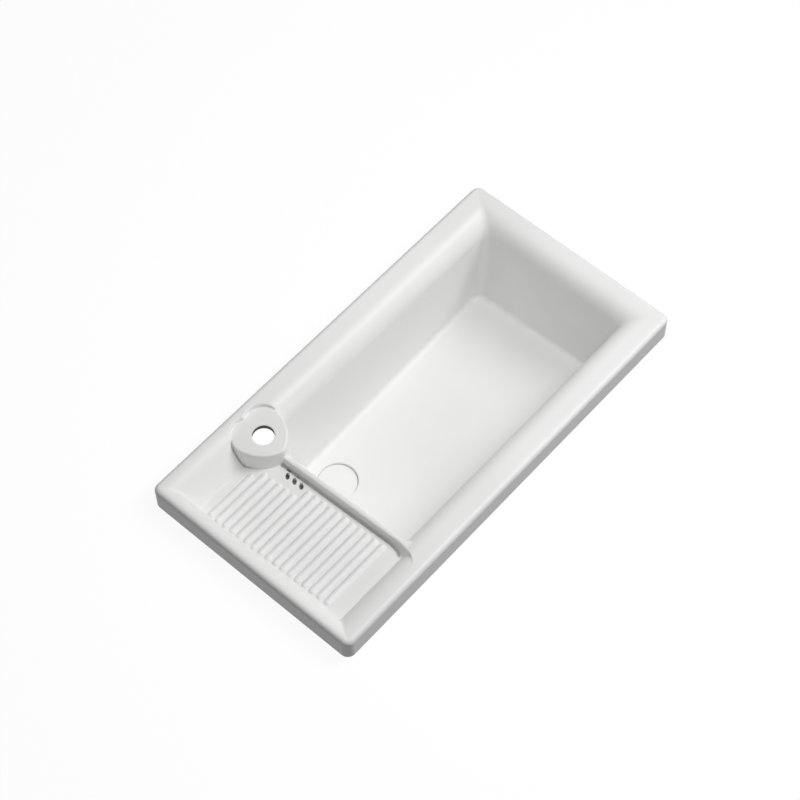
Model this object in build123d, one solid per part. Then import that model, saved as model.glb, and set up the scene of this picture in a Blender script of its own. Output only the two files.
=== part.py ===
from build123d import *
from math import atan, cos, degrees, radians, sin, sqrt, tan
import os

# Countertop laundry basin with a ribbed washboard, a heart-shaped tap deck and a pop-up waste.
# All sizes are in millimetres and angles in degrees. X runs along the basin from the washboard to
# the bowl's end, Y to the back edge where the tap stands, Z up. The origin is the centre of the
# apron's underside, which rests on the counter. Depths are measured down from the rim's top.

# Rim and apron
rim_length = 760.0
rim_width = 400.0
apron_height = 45.0
apron_wall = 11.0
rim_corner_radius = 14.0
rim_edge_radius = 8.0
rim_flat = 1.0
rim_slope = 6.0
shell_wall = 11.0
rim_gusset = 3.0

# Bowl
bowl_strip = 28.0
bowl_roll = 37.0
bowl_side_draft = 3.0
bowl_end_strip = 20.0
bowl_end_roll = 34.0
bowl_end_draft = 9.0
bowl_corner_radius = 16.0
bowl_foot_radius = 9.0
bowl_depth_at_drain = 196.0
bowl_fall_along = 3.4
bowl_fall_across = 2.6
bowl_flare_radius = 9.0
flare_radius = 16.0

# Washboard tray
board_strip = 14.0
board_roll = 40.0
board_draft = 19.0
board_back_strip = 9.0
board_back_roll = 44.0
board_back_draft = 36.0
board_end_strip = 8.0
board_end_roll = 25.0
board_end_draft = 4.0
board_corner_radius = 6.5
board_foot_radius = 3.0
board_front_depth = 21.5
board_front_inset = 46.0
board_slope = 4.6
board_thickness = 14.0

# Ribs of the washboard, counted from the back
rib_count = 17
rib_pitch = 14.9
rib_radius = 6.5
rib_height = 3.0
rib_first_y = 118.5
rib_left_x = -342.5
rib_end_beside_deck = -245.0
rib_end_beside_weeps = -230.0
rib_end_at_divider = -210.5
ribs_beside_weeps = 6

# Divider between tray and bowl
divider_x = -195.5
divider_width = 10.0
divider_height = 13.5
divider_board_draft = 2.0
divider_bowl_draft = 3.0

# Gutter along the divider's foot, on the washboard's side
gutter_width = 6.0
gutter_depth = 8.0
gutter_bite = 0.15
gutter_front_y = -137.0

# Heart-shaped tap deck
deck_x = -197.3
deck_y = 153.3
deck_depth = 8.0
deck_thickness = 10.0
deck_draft = 2.0
deck_edge_radius = 3.0
deck_pocket_draft = 14.0
lobe_radius = 30.3
lobe_offset = 14.8
tip_radius = 13.0
tip_reach = 56.0
flank_radius = 66.0
notch_radius = 4.0
tap_hole_radius = 17.5
tap_hole_y = 139.5

# Drain holes through the foot of the divider
weep_radius = 2.9
weep_angle = 35.0
weep_turn = 28.0
weep_x = -215.5
weep_first_y = 75.0
weep_pitch = 14.4
weep_count = 3

# Drain seat of the bowl
drain_x = -107.5
drain_y = 75.0
recess_radius = 33.4
recess_depth = 12.0
seat_thickness = 20.0
drain_hole_radius = 23.0
boss_radius = 46.0

# Waste: flange seated on its gasket in the drain recess, tail through the drain hole
gasket_thickness = 1.5
flange_radius = 32.5
flange_thickness = 2.5
flange_edge_radius = 1.0
tail_radius = 20.95
tail_bore_radius = 17.2
tail_length = 75.0
tail_end_radius = 20.5
tail_end_length = 30.0
basket_seat_radius = 19.0
basket_seat_depth = 8.0

# Pop-up cap, its holder and its stem
cap_radius = 33.0
cap_thickness = 4.0
cap_dome = 0.8
cap_edge_radius = 1.8
cap_recess_depth = 1.5
cap_gap = 0.3
holder_radius = 30.0
holder_thickness = 3.0
cap_boss_radius = 7.0
cap_boss_length = 8.0
seal_inner_radius = 24.0
seal_outer_radius = 29.0
seal_groove_depth = 1.5
seal_gap = 0.05
stud_radius = 3.0
stud_length = 8.0
stud_hole_depth = 9.0
stem_radius = 3.9
cam_height = 6.0
cam_hole_radius = 1.6
spigot_length = 5.0

# Strainer basket with the socket for the click sleeve
basket_rim_radius = 18.8
basket_rim_height = 3.0
basket_radius = 16.6
basket_length = 45.0
basket_wall = 1.5
slot_count = 8
slot_width = 4.0
slot_top_gap = 7.0
socket_radius = 8.0
socket_height = 32.0
sleeve_radius = 6.1
sleeve_bore_radius = 4.2
sleeve_flange_height = 1.5
ring_major_radius = 18.0
ring_wire_radius = 0.95
ring_groove_radius = 17.0
ring_groove_height = 2.0

# Click spring
spring_radius = 3.0
spring_wire = 0.8
spring_length = 12.0
spring_turns = 5.0

# Nut, washer and cone gasket under the basin
cone_outer_radius = 32.0
cone_height = 6.0
cone_nose_height = 3.0
washer_thickness = 1.5
nut_corner_radius = 31.0
nut_height = 10.0

# Clearances of parts that are pushed or screwed together, and of parts that slide
fixed_gap = 0.1
loose_gap = 0.3

# How far the cutting shapes run past the casting
overrun = 20.0
tool_depth = 260.0


upright = (Align.CENTER, Align.CENTER, Align.MIN)


def depth_to_z(depth):
    return apron_height - depth


def rolled_side(edge, inward, strip, roll, draft, grow):
    """Section of a side that rolls down from the rim, as (position, depth) points."""
    slope = radians(rim_slope)
    steep = radians(90.0 - draft)
    start_depth = (strip - rim_edge_radius - rim_flat) * tan(slope)
    centre = (strip - roll * sin(slope), start_depth + roll * cos(slope))
    radius = roll - grow

    def on_roll(angle):
        return (centre[0] + radius * sin(angle), centre[1] - radius * cos(angle))

    start = on_roll(slope)
    middle = on_roll((slope + steep) / 2)
    stop = on_roll(steep)
    outside = (-overrun, start[1] - (start[0] + overrun) * tan(slope))
    foot = (stop[0] + (tool_depth - stop[1]) * tan(radians(draft)), tool_depth)
    return [(edge + inward * inset, depth) for inset, depth in (outside, start, middle, stop, foot)]


def plain_side(position, depth, inward, draft, grow):
    """Section of a straight drafted side that passes through position at the given depth."""
    lean = tan(radians(draft))
    shift = grow / cos(radians(draft))
    return [
        (position + inward * ((end - depth) * lean - shift), end)
        for end in (-overrun, tool_depth)
    ]


def side_edges(points):
    """Edges of one side, with an arc where the section has a roll."""
    placed = [(position, depth_to_z(depth)) for position, depth in points]
    if len(placed) == 2:
        return [Line(placed[0], placed[1])], placed
    outside, start, middle, stop, foot = placed
    return [Line(outside, start), ThreePointArc(start, middle, stop), Line(stop, foot)], placed


def section(first, second):
    """Closed section of a recess between two sides."""
    first_edges, first_points = side_edges(first)
    second_edges, second_points = side_edges(second)
    top = depth_to_z(-2 * overrun)
    corner_a = (first_points[0][0], top)
    corner_b = (second_points[0][0], top)
    edges = first_edges + second_edges
    edges.append(Line(first_points[-1], second_points[-1]))
    edges.append(Line(first_points[0], corner_a))
    edges.append(Line(second_points[0], corner_b))
    edges.append(Line(corner_a, corner_b))
    return make_face(edges)


def floor_plane(x, y, depth, fall_left, fall_back):
    """Plane through a point of a floor that falls to the left and to the back."""
    along = Vector(1, 0, tan(radians(fall_left)))
    across = Vector(0, 1, -tan(radians(fall_back)))
    return Plane(origin=(x, y, depth_to_z(depth)), x_dir=along, z_dir=along.cross(across))


def corner_edges(solid, right, back, middle_x):
    """The mitre edges of a recess in one of its four corners."""
    found = []
    for edge in solid.edges():
        tangent = edge.tangent_at(0.5)
        centre = edge.center()
        if abs(tangent.X) > 0.99 or abs(tangent.Y) > 0.99:
            continue
        if abs(centre.X) > rim_length / 2 or abs(centre.Y) > rim_width / 2:
            continue
        if (centre.X > middle_x) == right and (centre.Y > 0) == back:
            found.append(edge)
    return found


def recess(left, right, front, back, floor, corner_radii, foot_radius):
    """Solid that fills a recess: two crossed sections, cut by the floor and rounded."""
    across = extrude(Plane.YZ * section(front, back), rim_length, both=True)
    along = extrude(Plane.XZ * section(left, right), rim_width, both=True)
    solid = split(across & along, bisect_by=floor, keep=Keep.TOP).solid()
    middle_x = (left[-1][0] + right[-1][0]) / 2
    for (is_right, is_back), radius in corner_radii.items():
        solid = fillet(corner_edges(solid, is_right, is_back, middle_x), radius).solid()
    foot = solid.faces().sort_by(lambda f: (f.center() - floor.origin).dot(floor.z_dir))[0]
    return fillet(foot.edges(), foot_radius).solid()


seat_z = depth_to_z(bowl_depth_at_drain + recess_depth)


def bowl_recess(grow, drop):
    """The bowl: rolled rim on three sides, the divider's face on the left."""
    return recess(
        plain_side(divider_x + divider_width / 2, board_front_depth, 1, divider_bowl_draft, grow),
        rolled_side(rim_length / 2, -1, bowl_end_strip, bowl_end_roll, bowl_end_draft, grow),
        rolled_side(-rim_width / 2, 1, bowl_strip, bowl_roll, bowl_side_draft, grow),
        rolled_side(rim_width / 2, -1, bowl_strip, bowl_roll, bowl_side_draft, grow),
        floor_plane(drain_x, drain_y, bowl_depth_at_drain + drop, bowl_fall_along, bowl_fall_across),
        {
            (True, True): bowl_corner_radius,
            (True, False): bowl_corner_radius,
            (False, True): flare_radius,
            (False, False): bowl_flare_radius,
        },
        bowl_foot_radius,
    )


board_front_y = -rim_width / 2 + board_front_inset


def board_depth(y):
    """Depth of the washboard's surface, which falls to the back."""
    return board_front_depth + (y - board_front_y) * tan(radians(board_slope))


def board_plane(drop):
    return floor_plane(divider_x, board_front_y, board_front_depth + drop, 0, board_slope)


def board_recess(grow, drop):
    """The washboard tray: rolled rim on three sides, the divider's face on the right."""
    return recess(
        rolled_side(-rim_length / 2, 1, board_end_strip, board_end_roll, board_end_draft, grow),
        plain_side(divider_x - divider_width / 2, board_depth(0), -1, divider_board_draft, grow),
        rolled_side(-rim_width / 2, 1, board_strip, board_roll, board_draft, grow),
        rolled_side(rim_width / 2, -1, board_back_strip, board_back_roll, board_back_draft, grow),
        board_plane(drop),
        {
            (True, True): flare_radius,
            (True, False): flare_radius,
            (False, True): board_corner_radius,
            (False, False): board_corner_radius,
        },
        board_foot_radius,
    )


def gap_over_divider():
    """Space above the divider's top, which falls to the back like the board."""
    front = rolled_side(-rim_width / 2, 1, bowl_strip, bowl_roll, bowl_side_draft, 0)
    back = rolled_side(rim_width / 2, -1, bowl_strip, bowl_roll, bowl_side_draft, 0)
    width = divider_width + 4 * flare_radius
    prism = Pos(divider_x, 0, 0) * extrude(Plane.YZ * section(front, back), width / 2, both=True)
    return split(prism, bisect_by=board_plane(-divider_height), keep=Keep.TOP).solid()


def gutter():
    """Channel with a round bottom and a round front end, which runs on into the tap deck."""
    radius = gutter_width / 2
    length = deck_y - gutter_front_y
    height = gutter_depth + board_foot_radius
    lean = tan(radians(divider_board_draft))
    foot_x = (board_depth(0) - board_depth(gutter_front_y)) * lean - divider_width / 2
    turn = degrees(atan(lean * tan(radians(board_slope))))
    bar = Rot(-90, 0, 0) * Cylinder(radius, length, align=upright)
    top = Box(radius * 2, length, height, align=(Align.CENTER, Align.MIN, Align.MIN))
    channel = bar + top + Sphere(radius) + Cylinder(radius, height, align=upright)
    start = gutter_front_y - board_front_y
    place = Pos(foot_x + gutter_bite - radius, start, radius - gutter_depth) * Rot(0, 0, turn)
    return board_plane(0) * (place * channel)


def heart(grow):
    """Outline of the tap deck: two lobes with a notch behind them, two flanks and a round tip."""
    lobe = Vector(lobe_offset, 0)
    tip = Vector(0, tip_radius - tip_reach)
    span = lobe - tip
    near = flank_radius - lobe_radius
    far = flank_radius - tip_radius
    along = (span.length**2 + far**2 - near**2) / (2 * span.length)
    across = sqrt(far**2 - along**2)
    unit = span.normalized()
    flank = tip + unit * along + Vector(-unit.Y, unit.X) * across
    on_lobe = flank + (lobe - flank).normalized() * (flank_radius + grow)
    on_tip = flank + (tip - flank).normalized() * (flank_radius + grow)
    on_flank = flank + (on_lobe + on_tip - flank * 2).normalized() * (flank_radius + grow)
    notch = Vector(0, sqrt((lobe_radius + grow + notch_radius) ** 2 - lobe_offset**2))
    on_notch = notch + (lobe - notch).normalized() * notch_radius
    lobe_side = lobe + Vector(cos(radians(20)), sin(radians(20))) * (lobe_radius + grow)

    def mirrored(point):
        return Vector(-point.X, point.Y)

    edges = [
        ThreePointArc(on_notch, lobe_side, on_lobe),
        ThreePointArc(on_lobe, on_flank, on_tip),
        ThreePointArc(on_tip, tip - Vector(0, tip_radius + grow), mirrored(on_tip)),
        ThreePointArc(mirrored(on_tip), mirrored(on_flank), mirrored(on_lobe)),
        ThreePointArc(mirrored(on_lobe), mirrored(lobe_side), mirrored(on_notch)),
        ThreePointArc(mirrored(on_notch), notch - Vector(0, notch_radius), on_notch),
    ]
    return Pos(deck_x, deck_y, 0) * make_face(edges)


def heart_prism(top_depth, bottom_depth, top_grow, bottom_grow):
    top = Pos(0, 0, depth_to_z(top_depth)) * heart(top_grow)
    bottom = Pos(0, 0, depth_to_z(bottom_depth)) * heart(bottom_grow)
    return loft([bottom, top], ruled=True)


def rim_block():
    """Apron and rim as a full block."""
    block = Box(rim_length, rim_width, apron_height, align=upright)
    block = fillet(block.edges().filter_by(Axis.Z), rim_corner_radius)
    return fillet(block.faces().sort_by(Axis.Z)[-1].edges(), rim_edge_radius)


def apron_hollow():
    """Space inside the apron, before the shell of bowl and tray is added."""
    hollow = Pos(0, 0, -overrun) * Box(
        rim_length - 2 * apron_wall,
        rim_width - 2 * apron_wall,
        depth_to_z(shell_wall + rim_gusset) + overrun,
        align=upright,
    )
    return fillet(hollow.edges().filter_by(Axis.Z), rim_corner_radius - apron_wall)


def basin_void():
    """Everything that is open above the glazed surface."""
    spread = tan(radians(deck_draft)) * (tool_depth - deck_depth)
    column = heart_prism(deck_depth, tool_depth, 0, spread)
    column = fillet(column.faces().sort_by(Axis.Z)[-1].edges(), deck_edge_radius)
    pocket_spread = tan(radians(deck_pocket_draft)) * (deck_depth + overrun)
    pocket = heart_prism(-overrun, deck_depth, pocket_spread, 0)
    void = board_recess(0, 0) + gap_over_divider() + bowl_recess(0, 0) + gutter()
    return void - column + pocket


def basin_shell():
    """Apron, rim, bowl and tray as a full shape, one wall thickness larger than the recesses."""
    shell = bowl_recess(shell_wall, shell_wall) + board_recess(shell_wall, board_thickness)
    trim = Pos(0, 0, depth_to_z(shell_wall) - tool_depth) * Box(
        rim_length - apron_wall, rim_width - apron_wall, tool_depth, align=upright
    )
    return rim_block() - apron_hollow() + (shell & trim)


def deck_plate():
    return heart_prism(deck_depth, deck_depth + deck_thickness, shell_wall, shell_wall)


def deck_hollow():
    """Open space under the tap deck, which is hollow like the rest of the casting."""
    spread = tan(radians(deck_draft)) * (tool_depth - deck_depth - deck_thickness)
    return heart_prism(deck_depth + deck_thickness, tool_depth, -shell_wall, spread - shell_wall)


def rib_end(index):
    if index == 0:
        return rib_end_beside_deck
    if index < ribs_beside_weeps:
        return rib_end_beside_weeps
    return rib_end_at_divider


def rib(index):
    """One rib of the washboard: a sunk bar with round ends."""
    y = rib_first_y - index * rib_pitch
    cap = sqrt(rib_radius**2 - (rib_radius - rib_height) ** 2)
    left = rib_left_x + cap
    right = rib_end(index) - cap
    z = depth_to_z(board_depth(y)) - (rib_radius - rib_height) / cos(radians(board_slope))
    bar = Pos(left, y, z) * Rot(0, 90, 0) * Cylinder(rib_radius, right - left, align=upright)
    return bar + Pos(left, y, z) * Sphere(rib_radius) + Pos(right, y, z) * Sphere(rib_radius)


def weep_hole(index):
    """One hole from the foot of the washboard down into the bowl."""
    y = weep_first_y - index * weep_pitch
    z = depth_to_z(board_depth(y))
    direction = Rot(0, 0, weep_turn) * Rot(0, 90 + weep_angle, 0)
    return Pos(weep_x, y, z) * direction * Cylinder(weep_radius, 3 * overrun)


def drain_tool(radius, bottom, top):
    """Upright cylinder on the drain's axis."""
    return Pos(drain_x, drain_y, bottom) * Cylinder(radius, top - bottom, align=upright)


def basin_body():
    body = basin_shell() + deck_plate()
    body = body + drain_tool(boss_radius, seat_z - seat_thickness, seat_z + recess_depth)
    body = body - deck_hollow() - basin_void()
    body = body + [rib(index) for index in range(rib_count)]
    body = body - [weep_hole(index) for index in range(weep_count)]
    body = body - drain_tool(recess_radius, seat_z, seat_z + 2 * recess_depth)
    body = body - drain_tool(drain_hole_radius, seat_z - 2 * seat_thickness, seat_z + 1)
    deck_z = depth_to_z(deck_depth)
    tap_hole = Cylinder(tap_hole_radius, 2 * deck_thickness + 2)
    return body - Pos(deck_x, tap_hole_y, deck_z - deck_thickness / 2) * tap_hole


def turned(points):
    """Round piece on the drain's axis from its (radius, height) section."""
    face = make_face(Polyline(*points, close=True))
    return revolve(Plane.XZ * face, Axis.Z)


# Heights of the waste's parts, on the drain's axis
flange_bottom_z = seat_z + gasket_thickness
flange_top_z = flange_bottom_z + flange_thickness
tail_end_z = flange_top_z - tail_length
basket_seat_z = flange_top_z - basket_seat_depth
cap_bottom_z = flange_top_z + cap_gap
boss_bottom_z = cap_bottom_z - cap_boss_length
basket_bottom_z = basket_seat_z - basket_length
basket_floor_z = basket_bottom_z + basket_wall
socket_top_z = basket_bottom_z + socket_height
sleeve_floor_z = basket_floor_z + basket_wall
spring_top_z = sleeve_floor_z + spring_length
stem_bottom_z = spring_top_z + cam_height
boss_end_z = seat_z - seat_thickness
cone_bottom_z = boss_end_z - cone_height
washer_bottom_z = cone_bottom_z - washer_thickness


def flange_gasket():
    return turned([
        (drain_hole_radius + 1, seat_z),
        (flange_radius - gasket_thickness, seat_z),
        (flange_radius - gasket_thickness, flange_bottom_z),
        (drain_hole_radius + 1, flange_bottom_z),
    ])


def waste_body():
    """Flange and threaded tail with a plain end, and the seat for the strainer basket."""
    body = turned([
        (basket_seat_radius, flange_top_z),
        (flange_radius, flange_top_z),
        (flange_radius, flange_bottom_z),
        (tail_radius, flange_bottom_z),
        (tail_radius, tail_end_z + tail_end_length),
        (tail_end_radius, tail_end_z + tail_end_length),
        (tail_end_radius, tail_end_z),
        (tail_bore_radius, tail_end_z),
        (tail_bore_radius, basket_seat_z),
        (basket_seat_radius, basket_seat_z),
    ])
    outer = body.faces().sort_by(Axis.Z)[-1].edges().sort_by(SortBy.RADIUS)[-1]
    return fillet(outer, flange_edge_radius)


def waste_cap():
    """Domed cap, recessed underneath for its holder."""
    recess_z = cap_bottom_z + holder_thickness
    bottom_z = recess_z - cap_recess_depth
    rim_top = bottom_z + cap_thickness
    bottom = Polyline(
        (0, recess_z),
        (holder_radius + fixed_gap, recess_z),
        (holder_radius + fixed_gap, bottom_z),
        (cap_radius, bottom_z),
        (cap_radius, rim_top - cap_edge_radius),
    )
    dome_end = cap_radius - cap_edge_radius
    corner = cap_edge_radius * (1 - sqrt(0.5))
    edge = ThreePointArc(
        (cap_radius, rim_top - cap_edge_radius),
        (cap_radius - corner, rim_top - corner),
        (dome_end, rim_top),
    )
    dome_radius = (dome_end**2 + cap_dome**2) / (2 * cap_dome)
    dome_fall = dome_radius - sqrt(dome_radius**2 - (dome_end / 2) ** 2)
    dome = ThreePointArc(
        (dome_end, rim_top),
        (dome_end / 2, rim_top + cap_dome - dome_fall),
        (0, rim_top + cap_dome),
    )
    axis_line = Line((0, rim_top + cap_dome), (0, recess_z))
    face = make_face([bottom, edge, dome, axis_line])
    return revolve(Plane.XZ * face, Axis.Z)


def cap_holder():
    """Disc under the cap, with a groove for the seal and a boss for the stem."""
    stud_hole = stud_radius + fixed_gap
    stud_end = boss_bottom_z + stud_hole_depth
    top = cap_bottom_z + holder_thickness
    return turned([
        (0, stud_end),
        (stud_hole, stud_end),
        (stud_hole, boss_bottom_z),
        (cap_boss_radius, boss_bottom_z),
        (cap_boss_radius, cap_bottom_z),
        (seal_inner_radius, cap_bottom_z),
        (seal_inner_radius, cap_bottom_z + seal_groove_depth),
        (seal_outer_radius, cap_bottom_z + seal_groove_depth),
        (seal_outer_radius, cap_bottom_z),
        (holder_radius, cap_bottom_z),
        (holder_radius, top),
        (0, top),
    ])


def cap_seal():
    top = cap_bottom_z + seal_groove_depth
    bottom = flange_top_z + seal_gap
    return turned([
        (seal_inner_radius, bottom),
        (seal_outer_radius, bottom),
        (seal_outer_radius, top),
        (seal_inner_radius, top),
    ])


def cap_stem():
    """Stem with a stud for the cap and a spigot for the click cam."""
    spigot = cam_hole_radius - fixed_gap / 2
    return turned([
        (0, boss_bottom_z + stud_length),
        (stud_radius, boss_bottom_z + stud_length),
        (stud_radius, boss_bottom_z),
        (stem_radius, boss_bottom_z),
        (stem_radius, stem_bottom_z),
        (spigot, stem_bottom_z),
        (spigot, stem_bottom_z - spigot_length),
        (0, stem_bottom_z - spigot_length),
    ])


def click_cam():
    return turned([
        (cam_hole_radius, spring_top_z),
        (stem_radius, spring_top_z),
        (stem_radius, stem_bottom_z),
        (cam_hole_radius, stem_bottom_z),
    ])


def click_spring():
    """Spring under the cam, compressed while the cap is down."""
    rise = spring_length - spring_wire
    helix = Helix(rise / spring_turns, rise, spring_radius)
    section_plane = Plane(helix @ 0, z_dir=helix % 0)
    coil = sweep(section_plane * Circle(spring_wire / 2), path=helix, is_frenet=True)
    return Pos(0, 0, sleeve_floor_z + spring_wire / 2) * coil


def click_sleeve():
    """Cup that guides the stem, hung by its flange in the basket's socket."""
    return turned([
        (0, basket_floor_z),
        (sleeve_radius, basket_floor_z),
        (sleeve_radius, socket_top_z),
        (socket_radius, socket_top_z),
        (socket_radius, socket_top_z + sleeve_flange_height),
        (sleeve_bore_radius, socket_top_z + sleeve_flange_height),
        (sleeve_bore_radius, sleeve_floor_z),
        (0, sleeve_floor_z),
    ])


def strainer_basket():
    """Basket with a socket on its floor, slotted all round for the water."""
    rim_top_z = basket_seat_z + basket_rim_height
    groove_z = basket_seat_z + basket_rim_height / 2
    inner = basket_radius - basket_wall
    basket = turned([
        (0, basket_bottom_z),
        (basket_radius, basket_bottom_z),
        (basket_radius, basket_seat_z),
        (basket_rim_radius, basket_seat_z),
        (basket_rim_radius, groove_z - ring_groove_height / 2),
        (ring_groove_radius, groove_z - ring_groove_height / 2),
        (ring_groove_radius, groove_z + ring_groove_height / 2),
        (basket_rim_radius, groove_z + ring_groove_height / 2),
        (basket_rim_radius, rim_top_z),
        (inner, rim_top_z),
        (inner, basket_floor_z),
        (socket_radius, basket_floor_z),
        (socket_radius, socket_top_z),
        (sleeve_radius + fixed_gap, socket_top_z),
        (sleeve_radius + fixed_gap, basket_floor_z),
        (0, basket_floor_z),
    ])
    slot_top_z = basket_seat_z - slot_top_gap
    slot = Pos(socket_radius + 1, 0, basket_bottom_z - 1) * Box(
        basket_radius,
        slot_width,
        slot_top_z - basket_bottom_z + 1,
        align=(Align.MIN, Align.CENTER, Align.MIN),
    )
    return basket - [Rot(0, 0, index * 360 / slot_count) * slot for index in range(slot_count)]


def basket_o_ring():
    groove_z = basket_seat_z + basket_rim_height / 2
    return Pos(0, 0, groove_z) * Torus(ring_major_radius, ring_wire_radius)


def cone_gasket():
    """Rubber cone whose nose centres it in the drain hole."""
    return turned([
        (tail_radius + fixed_gap, cone_bottom_z),
        (cone_outer_radius, cone_bottom_z),
        (cone_outer_radius, boss_end_z),
        (drain_hole_radius - fixed_gap, boss_end_z),
        (drain_hole_radius - 2 * fixed_gap, boss_end_z + cone_nose_height),
        (tail_radius + fixed_gap, boss_end_z + cone_nose_height),
    ])


def slip_washer():
    return turned([
        (tail_radius + loose_gap, washer_bottom_z),
        (nut_corner_radius, washer_bottom_z),
        (nut_corner_radius, cone_bottom_z),
        (tail_radius + loose_gap, cone_bottom_z),
    ])


def back_nut():
    nut = extrude(RegularPolygon(nut_corner_radius, 6), -nut_height)
    bore = Cylinder(tail_radius + fixed_gap, 4 * nut_height)
    return Pos(0, 0, washer_bottom_z) * (nut - bore)


os.makedirs("parts", exist_ok=True)
export_step(basin_body(), "parts/basin_body.step")
waste_pieces = {
    "flange_gasket": flange_gasket(),
    "waste_body": waste_body(),
    "waste_cap": waste_cap(),
    "cap_holder": cap_holder(),
    "cap_seal": cap_seal(),
    "cap_stem": cap_stem(),
    "click_cam": click_cam(),
    "click_spring": click_spring(),
    "click_sleeve": click_sleeve(),
    "strainer_basket": strainer_basket(),
    "basket_o_ring": basket_o_ring(),
    "cone_gasket": cone_gasket(),
    "slip_washer": slip_washer(),
    "back_nut": back_nut(),
}
for name, piece in waste_pieces.items():
    export_step(Pos(drain_x, drain_y, 0) * piece, f"parts/{name}.step")
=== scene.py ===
from math import cos, radians, sin, tan

import bpy
import numpy as np
from mathutils import Matrix, Vector


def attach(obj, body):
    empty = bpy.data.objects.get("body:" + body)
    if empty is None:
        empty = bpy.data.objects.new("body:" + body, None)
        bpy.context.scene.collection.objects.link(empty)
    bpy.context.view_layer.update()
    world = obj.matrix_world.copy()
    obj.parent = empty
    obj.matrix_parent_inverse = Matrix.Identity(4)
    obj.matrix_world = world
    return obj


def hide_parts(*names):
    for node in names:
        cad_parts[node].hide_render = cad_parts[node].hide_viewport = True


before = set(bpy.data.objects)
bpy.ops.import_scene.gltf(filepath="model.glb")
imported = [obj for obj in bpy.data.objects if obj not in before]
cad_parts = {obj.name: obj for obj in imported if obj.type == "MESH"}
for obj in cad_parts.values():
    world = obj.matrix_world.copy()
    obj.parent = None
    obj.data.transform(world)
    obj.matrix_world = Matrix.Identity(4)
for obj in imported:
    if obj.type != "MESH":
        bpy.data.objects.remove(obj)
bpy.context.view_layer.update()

# Countertop laundry basin: the glazed body is modelled here as one smooth surface with every edge
# rounded, and the waste's parts keep the frame's shapes. The named sizes below are in millimetres
# and degrees, in the part's frame. The stage, the lights and the camera are placed in metres.
# An EDGE or ROUND is the radius of an outer edge, a FOOT or BLEND that of an inner one.
MM = 0.001

# Rim and apron
RIM_LENGTH = 760.0
RIM_WIDTH = 400.0
APRON_HEIGHT = 45.0
APRON_WALL = 11.0
RIM_CORNER = 14.0
RIM_EDGE = 8.0
RIM_INNER_EDGE = 6.0
RIM_SLOPE = 6.0
STRIP_START = 9.0
APRON_INNER_EDGE, APRON_OUTER_EDGE = 1.0, 1.5
BOWL_SHELL, BOARD_SHELL, DECK_SHELL = 11.0, 12.0, 11.0
HOLLOW_TOP, HOLLOW_CORNER = 31.0, 4.0
SHELL_OVERLAP = 5.0

# Bowl
BOWL_STRIP, BOWL_ROLL, BOWL_DRAFT = 28.0, 37.0, 3.0
END_STRIP, END_ROLL, END_DRAFT = 20.0, 34.0, 9.0
BOWL_CORNER = 16.0
BOWL_FOOT = 9.0
BOWL_DEPTH = 196.0
BOWL_FALL_ALONG, BOWL_FALL_ACROSS = 3.4, 2.6
BOWL_FLARE, BOARD_FLARE = 9.0, 9.0
BOWL_MIDDLE, BOARD_MIDDLE = 0.0, -285.0

# Washboard tray
BOARD_STRIP, BOARD_ROLL, BOARD_DRAFT = 14.0, 40.0, 19.0
BACK_STRIP, BACK_ROLL, BACK_DRAFT = 9.0, 44.0, 36.0
LEFT_STRIP, LEFT_ROLL, LEFT_DRAFT = 8.0, 25.0, 4.0
BOARD_CORNER = 6.5
BOARD_FOOT = 3.0
BOARD_DEPTH = 21.5
BOARD_Y = -154.0
BOARD_SLOPE = 4.6

# Ribs
RIB_COUNT = 17
RIB_PITCH = 14.9
RIB_RADIUS = 6.5
RIB_HEIGHT = 3.0
RIB_FIRST_Y = 118.5
RIB_LEFT = -342.5
RIB_ENDS = [-245.0] + [-230.0] * 5 + [-210.5] * 11
RIB_BLEND = 1.0

# Divider
DIVIDER_X = -195.5
DIVIDER_WIDTH = 10.0
DIVIDER_HEIGHT = 13.5
DIVIDER_BOARD_LEAN, DIVIDER_BOWL_DRAFT = 7.0, 3.0
DIVIDER_ROUND = 3.0
DIVIDER_END_BLEND = 12.0
DIVIDER_REACH, DIVIDER_FADE = 36.0, 4.0
BEND_Y, BEND_RADIUS, BEND_SHIFT, BEND_LIMIT = -122.0, 56.0, 1.3, 0.8

# Gutter along the divider's foot
GUTTER_WIDTH, GUTTER_DEPTH = 5.6, 9.5
GUTTER_FRONT, GUTTER_BACK = -148.0, 110.0
GUTTER_EDGE = 0.8

# Tap deck
DECK_X, DECK_Y, DECK_DEPTH = -197.3, 153.3, 8.0
DECK_THICKNESS = 10.0
DECK_DRAFT, POCKET_DRAFT = 2.0, 14.0
DECK_EDGE = 3.0
DECK_FOOT = 0.8
POCKET_EDGE = 2.5
POCKET_FOOT = 1.5
LOBE_RADIUS, LOBE_OFFSET = 30.3, 14.8
TIP_RADIUS, TIP_REACH = 13.0, 56.0
FLANK_RADIUS = 66.0
NOTCH_RADIUS = 4.0
TAP_RADIUS, TAP_Y = 17.5, 139.5
TAP_EDGE, TAP_OVERRUN = 1.2, 2.0
SEAM_WIDTH, SEAM_DEPTH, SEAM_EDGE = 2.2, 3.5, 0.5
SEAM_SIDE, SEAM_FRONT, SEAM_BACK = 14.0, 124.0, 172.0
SEAM_FRONT_FADE, SEAM_BACK_FADE = 20.0, 12.0

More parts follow.
